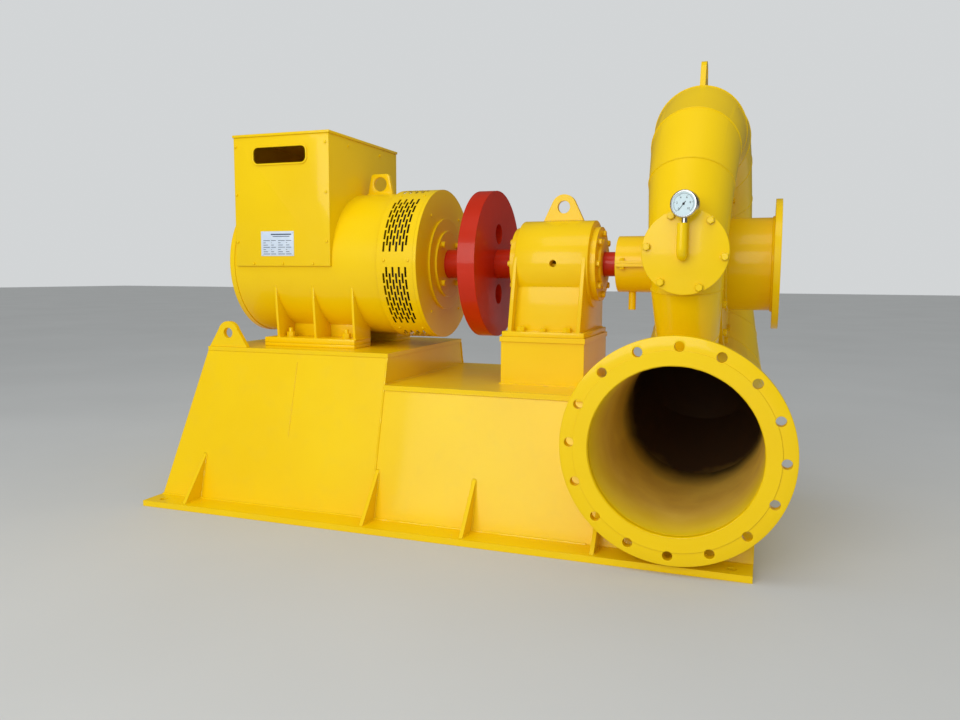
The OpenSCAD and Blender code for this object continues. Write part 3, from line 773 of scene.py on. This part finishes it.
bolt_large = hex_bolt(20, 13)
bearing_bolts = round_shaft(end_x2, end_circle, eighths)
bearing_bolts += round_shaft(end_x1, end_circle, eighths, to_rear)
fit(set_out(bolt_mid, bearing_bolts), "bearing_bolts")
pedestal_bolts = [aim((x, s * foot_bolt_y, house_z), up)
                  for x in foot_bolt_x for s in both]
fit(set_out(bolt_large, pedestal_bolts), "pedestal_bolts")
dowels = [aim((dowel_x, s * dowel_y, house_z), up) for s in both]
fit(set_out(bolt_mid, dowels), "pedestal_dowels")


# The guard over the shaft seal: two half shells of rolled plate, bolted
# together through their edges, with a drain pipe below.
coat(yellow, "guard_upper", "guard_lower", "drain_pipe")
edge_bolt_x, edge_bolt_y, edge_half, down = (457, 548), 85, 8, (0, 0, -1)
guard_bolts = [aim((x, s * edge_bolt_y, shaft_z + side_of * edge_half), way)
               for x in edge_bolt_x for s in both
               for side_of, way in ((1, up), (-1, down))]
fit(set_out(bolt_small, guard_bolts), "guard_bolts")


# The spiral casing: mitred rings of rolled plate welded into a tapering pipe
# round the drum. Past the mouth the inside is bare primer, painted light near
# the mouth and dark farther in as painted light and shade.
coat(yellow, "head_cover", "casing_drum", "casing_saddles", "draft_cover",
     "draft_tube", "draft_flange", "casing_lug")
coat(plain("runner_steel", (0.25, 0.24, 0.23), (0.42, 0.41, 0.40), 90, 0.35,
           metallic=1.0), "runner")
spiral_x, core_r, inlet_r, mitre, wall = 644.5, 215.0, 195.0, 22.5, 11.0
inlet_z = shaft_z - core_r - inlet_r
stretch = 1 / math.cos(math.radians(mitre / 2))


def pipe_r(angle):
    """Radius of the spiral pipe at an angle round the shaft."""
    stops = [(-90, inlet_r), (-78.75, inlet_r), (-11.25, 129.5), (90, 117),
             (180, 85), (225, 70), (247.5, 62)]
    for (a0, r0), (a1, r1) in zip(stops, stops[1:]):
        if angle <= a1:
            return r0 + (r1 - r0) * (angle - a0) / (a1 - a0)
    return stops[-1][1]


def mitre_place(angle):
    """Centre of a mitre, and the direction from the shaft through it."""
    out = Vector((0, math.cos(math.radians(angle)),
                  math.sin(math.radians(angle))))
    reach = (core_r + pipe_r(angle)) * stretch
    return Vector((spiral_x, 0, shaft_z)) + out * reach, out


def stand(shape, middle_at, out, across, reach):
    """Squeeze a flat round shape to an oval and stand it on a mitre plane."""
    turned = Vector(to_turbine).cross(out)
    basis = Matrix((Vector(to_turbine), out, turned)).transposed().to_4x4()
    shape.data.transform(Matrix.Translation(middle_at * mm) @ basis
                         @ Matrix.Diagonal((across, reach, 1, 1)))
    return shape


def face_out(piece):
    """Turn all faces of a piece outwards."""
    pick(piece, "FACE", lambda f: True)
    bpy.ops.mesh.normals_make_consistent(inside=False)
    close_edit()
    return piece


def roll_up(sections):
    """Rings of plate between outlines, each ring straight along its length."""
    hoops = []
    for section in sections:
        hoop = start(bpy.ops.mesh.primitive_circle_add, vertices=128,
                     radius=mm)
        hoops.append(stand(hoop, *section))
    pipe = hoops[0]
    for before, hoop in zip(sections, hoops[1:]):
        pipe = join([pipe, hoop])
        plane = Vector(to_turbine).cross(before[1])
        pick(pipe, "EDGE", lambda e: not e.link_faces or e.is_boundary
             and abs((middle(e) - before[0] * mm).dot(plane)) < 1e-5)
        bpy.ops.mesh.bridge_edge_loops()
        close_edit()
    return face_out(pipe)


mouth_y, tongue = -456, 262
mitres = [mitre / 2 - 90 + mitre * i for i in range(15)]
sections = [(Vector((spiral_x, mouth_y, inlet_z)), Vector(down), inlet_r,
             inlet_r)]
for angle in mitres + [tongue]:
    centre, out = mitre_place(angle)
    sections.append((centre, out, pipe_r(angle), pipe_r(angle) * stretch))
# The primer tone is a light ochre, lighter than the primer itself, as painted
# light coming in at the mouth.
lining = plain("casing_lining", (0.82, 0.55, 0.09), (0.94, 0.68, 0.12), 14,
               0.5)
nodes, links = lining.node_tree.nodes, lining.node_tree.links
split = nodes.new("ShaderNodeSeparateXYZ")
links.new(nodes["Texture Coordinate"].outputs["Object"],
          split.inputs["Vector"])
drift = nodes.new("ShaderNodeMath")
drift.operation = "MULTIPLY_ADD"
drift.inputs[1].default_value = 0.10
links.new(nodes["Noise Texture"].outputs["Fac"], drift.inputs[0])
links.new(split.outputs["Y"], drift.inputs[2])
tone = nodes["Color Ramp"].outputs["Color"]
# It has yellow overspray near the mouth, and is painted dark towards the far
# end as painted shade deep in the pipe.
for start_y, end_y, colour in ((0.01, 0.17, (0.050, 0.024, 0.009)),
                               (-0.22, -0.42, (0.95, 0.70, 0.0015))):
    reach = nodes.new("ShaderNodeMapRange")
    reach.inputs["From Min"].default_value = start_y
    reach.inputs["From Max"].default_value = end_y
    links.new(drift.outputs["Value"], reach.inputs["Value"])
    change = nodes.new("ShaderNodeMix")
    change.data_type = "RGBA"
    change.inputs["B"].default_value = (*colour, 1)
    links.new(reach.outputs["Result"], change.inputs["Factor"])
    links.new(tone, change.inputs["A"])
    tone = change.outputs["Result"]
links.new(tone, nodes["Principled BSDF"].inputs["Base Color"])
rings = []
for part in (sections[:9], sections[8:]):
    pipe = roll_up(part)
    pipe.data.materials.append(yellow)
    pipe.data.materials.append(lining)
    rings.append(apply(pipe, "SOLIDIFY", thickness=wall * mm, offset=-1,
                       material_offset=1))
# The mouth opens a little to the bore of its flange.
bore_r, mouth_r = inlet_r - wall, 188.4
pick(rings[0], "VERT", lambda v: v.co.y < (mouth_y + 0.5) * mm
     and math.hypot(v.co.x - spiral_x * mm, v.co.z - inlet_z * mm)
     < (inlet_r - 5) * mm)
bpy.ops.transform.resize(value=(mouth_r / bore_r, 1, mouth_r / bore_r))
close_edit()
# The small end of the spiral is cut back flush with the inlet pipe.
trim_r, trim_y, trim_long = 190, -180, 720
carve(rings[1], round_bar(trim_r, (spiral_x, trim_y, inlet_z), along_y,
                          trim_long))
fit(join(rings), "spiral_pipe", "casing_rings_a", "casing_rings_b",
    "inlet_pipe", crease=15)


def bead(radius, thick, spot=(0, 0, 0), axis=along_z, sides=140):
    """A round of weld with its middle on a spot."""
    return start(bpy.ops.mesh.primitive_torus_add, major_radius=radius * mm,
                 minor_radius=thick * mm, minor_segments=8,
                 major_segments=sides, rotation=axis,
                 location=Vector(spot) * mm)


seams = []
for angle in mitres[:-1]:
    centre, out = mitre_place(angle)
    seams.append(stand(bead(pipe_r(angle) - 0.4, 1.9), centre, out, 1,
                       stretch))
fit(ripple(face_out(join(seams)), 0.9, 6), "casing_seams")

pipe_welds = [bead(r, thick, (x, 0, shaft_z), along_x, sides)
              for x, r, thick, sides in ((831, 119, 4, 140),
                                         (721, 119, 4.5, 140),
                                         (582, 218, 2.4, 180),
                                         (707, 218, 2.4, 180))]
fit(ripple(join(pipe_welds), 2.0, 8), "pipe_welds")

head_x, draft_x, turbine_circle, twelfths = 569.5, 719.5, 200, range(0, 360, 30)
turbine_bolts = round_shaft(head_x, turbine_circle, twelfths, to_rear)
turbine_bolts += round_shaft(draft_x, turbine_circle, twelfths)
fit(set_out(bolt_mid, turbine_bolts), "turbine_cover_bolts")


# The inlet flange: a thick turned ring with a low raised face and sixteen
# bolt holes, fillet-welded to the pipe inside and out.
flange_y, flange_r, flange_thick, flange_bore = -467.2, 252.5, 22.4, 189
face_in, face_step = 29, 1.6
bolt_circle, bolt_hole, bolt_count, first_hole = 230, 11, 16, -1.5
flange_at = (spiral_x, flange_y, inlet_z)
flange = round_bar(flange_r, flange_at, along_y, flange_thick, 160)
soften(flange, lambda e: span(e, "y") < 1e-6, 1.6)
pick(flange, "FACE", lambda f: f.normal.y < -0.9 and len(f.verts) > 20)
bpy.ops.mesh.inset(thickness=face_in * mm)
bpy.ops.mesh.extrude_region_move()
bpy.ops.transform.translate(value=(0, -face_step * mm, 0))
close_edit()
carve(flange, round_bar(flange_bore, flange_at, along_y, 60, 160))
holes = []
for i in range(bolt_count):
    a = math.radians(360 / bolt_count * i + first_hole)
    holes.append(round_bar(bolt_hole, (spiral_x + bolt_circle * math.cos(a),
                                       flange_y,
                                       inlet_z + bolt_circle * math.sin(a)),
                           along_y, 60))
carve(flange, join(holes))
fit(flange, "inlet_ring", "inlet_flange", crease=30)
flange_welds = [bead(r, thick, (spiral_x, y, inlet_z), along_y, 220)
                for y, r, thick in ((-455, 196, 6), (-474.6, 191.5, 4.6))]
fit(ripple(join(flange_welds), 1.6, 9), "flange_welds")


# The hand hole: a short neck welded to the spiral, closed by a round cover
# with six bolts.
hatch_x, hatch_z, lid_y, lid_r, lid_deep = 648.5, 707.0, -406, 94, 12
neck_r, neck_y, neck_long = 74, -365, 72
neck = round_bar(neck_r, (hatch_x, neck_y, hatch_z), along_y, neck_long)
soften(neck, lambda e: middle(e).y < (neck_y - neck_long / 3) * mm, 1)
fit(neck, "hatch_stub", "hatch_neck")
lid = round_bar(lid_r, (hatch_x, lid_y, hatch_z), along_y, lid_deep, 96)
soften(lid, lambda e: span(e, "y") < 1e-6, 1.8, 3)
fit(lid, "hatch_lid", "hatch_cover")
lid_bolts_x, lid_bolts_z = hatch_x + 1, hatch_z + 0.3
hatch_bolts, hatch_circle, first_bolt = [], 84, -22.5
for i in range(6):
    a = math.radians(60 * i + first_bolt)
    hatch_bolts.append(aim((lid_bolts_x + hatch_circle * math.sin(a),
                            lid_y - lid_deep / 2,
                            lid_bolts_z + hatch_circle * math.cos(a)),
                           to_front))
fit(set_out(bolt_mid, hatch_bolts), "hatch_bolts")


# The pressure gauge: a polished steel case with a pale dial sunk in it,
# screwed on a bent pipe from the cover and turned a little to the left.
coat(yellow, "gauge_pipe")
gauge_place = (Matrix.Translation((0.649, -0.440, 0.807))
               @ Matrix.Rotation(math.radians(-12), 4, "Z"))
steel = plain("gauge_case_steel", (0.55, 0.55, 0.54), (0.72, 0.72, 0.71), 240,
              0.16, metallic=1.0, bump=0.05, deep=0.0002)
case_r, case_deep, bezel, sunk = 29.6, 24, 1.2, 2.2
case = round_bar(case_r, (0, 0, 0), along_y, case_deep)
soften(case, lambda e: span(e, "y") < 1e-6, 2.4, 3)
pick(case, "FACE", lambda f: f.normal.y < -0.9 and len(f.verts) > 20)
bpy.ops.mesh.inset(thickness=bezel * mm)
bpy.ops.mesh.extrude_region_move()
bpy.ops.transform.translate(value=(0, sunk * mm, 0))
close_edit()
stem_r, stem_z, stem_long = 6.5, -34, 13
stem = soften(round_bar(stem_r, (0, 0, stem_z), along_z, stem_long),
              lambda e: True, 0.6, 1)
case = join([case, stem])
case.data.transform(gauge_place)
fit(case, "gauge_body", "gauge_case", finish=steel, slot="gauge_steel")
white = plain("dial_white", (0.60, 0.76, 0.80), (0.66, 0.81, 0.85), 120, 0.35)
dial_r, dial_y, dial_thick = 26.2, -9.4, 1.2
dial = round_bar(dial_r, (0, dial_y, 0), along_y, dial_thick)
soften(dial, lambda e: span(e, "y") < 1e-6, 0.3, 1)
dial.data.transform(gauge_place)
fit(dial, "gauge_face", "gauge_dial", finish=white, slot="gauge_white")
print_black = plain("dial_print", (0.01, 0.01, 0.012), (0.03, 0.03, 0.03),
                    200, 0.5)
first_a, sweep_a, tick_r, figure_r, figure_tall = -135, 270, 22.6, 14.6, 6.4
tick_half, ink_y0, ink_y1, figure_y = 0.32, -10.35, -9.9, -10.1
marks = []
for i in range(41):
    a = math.radians(first_a + sweep_a * i / 40)
    long = 4.2 if i % 8 == 0 else 2.2
    tick = block((-tick_half, ink_y0, tick_r - long),
                 (tick_half, ink_y1, tick_r), 0.08)
    tick.data.transform(Matrix.Rotation(a, 4, "Y"))
    marks.append(tick)
for i in range(6):
    a = math.radians(first_a + sweep_a / 5 * i)
    bpy.ops.object.select_all(action="DESELECT")
    bpy.ops.object.text_add()
    figure = bpy.context.object
    figure.data.body = str(2 * i)
    figure.data.size = figure_tall * mm
    figure.data.align_x = figure.data.align_y = "CENTER"
    figure.data.extrude = 0.15 * mm
    bpy.ops.object.convert(target="MESH")
    figure = bpy.context.object
    place = Vector((figure_r * math.sin(a), figure_y, figure_r * math.cos(a)))
    figure.data.transform(Matrix.Translation(place * mm)
                          @ Matrix.Rotation(math.pi / 2, 4, "X"))
    marks.append(figure)
needle_half, needle_tail, needle_tip, reading = 0.7, -7, 19, 218.7
needle_y0, needle_y1, hub_r, hub_y = -10.9, -10.4, 2.6, -10.6
needle = block((-needle_half, needle_y0, needle_tail),
               (needle_half, needle_y1, needle_tip), 0.12)
pick(needle, "VERT", lambda v: v.co.z > (needle_tip - 1) * mm)
bpy.ops.transform.resize(value=(0.25, 1, 1))
close_edit()
hub = round_bar(hub_r, (0, hub_y, 0), along_y, 1)
soften(hub, lambda e: middle(e).y < (hub_y - 0.2) * mm, 0.3)
needle = join([needle, hub])
needle.data.transform(Matrix.Rotation(math.radians(reading), 4, "Y"))
marks = join(marks + [needle])
marks.data.transform(gauge_place)
fit(marks, "dial_marks", finish=print_black, slot="gauge_white")

# The pattern fasteners have all been copied to their places.
for pattern in (bolt_small, bolt_mid, bolt_large, nut_foot, screw, rivet):
    bpy.data.objects.remove(pattern)
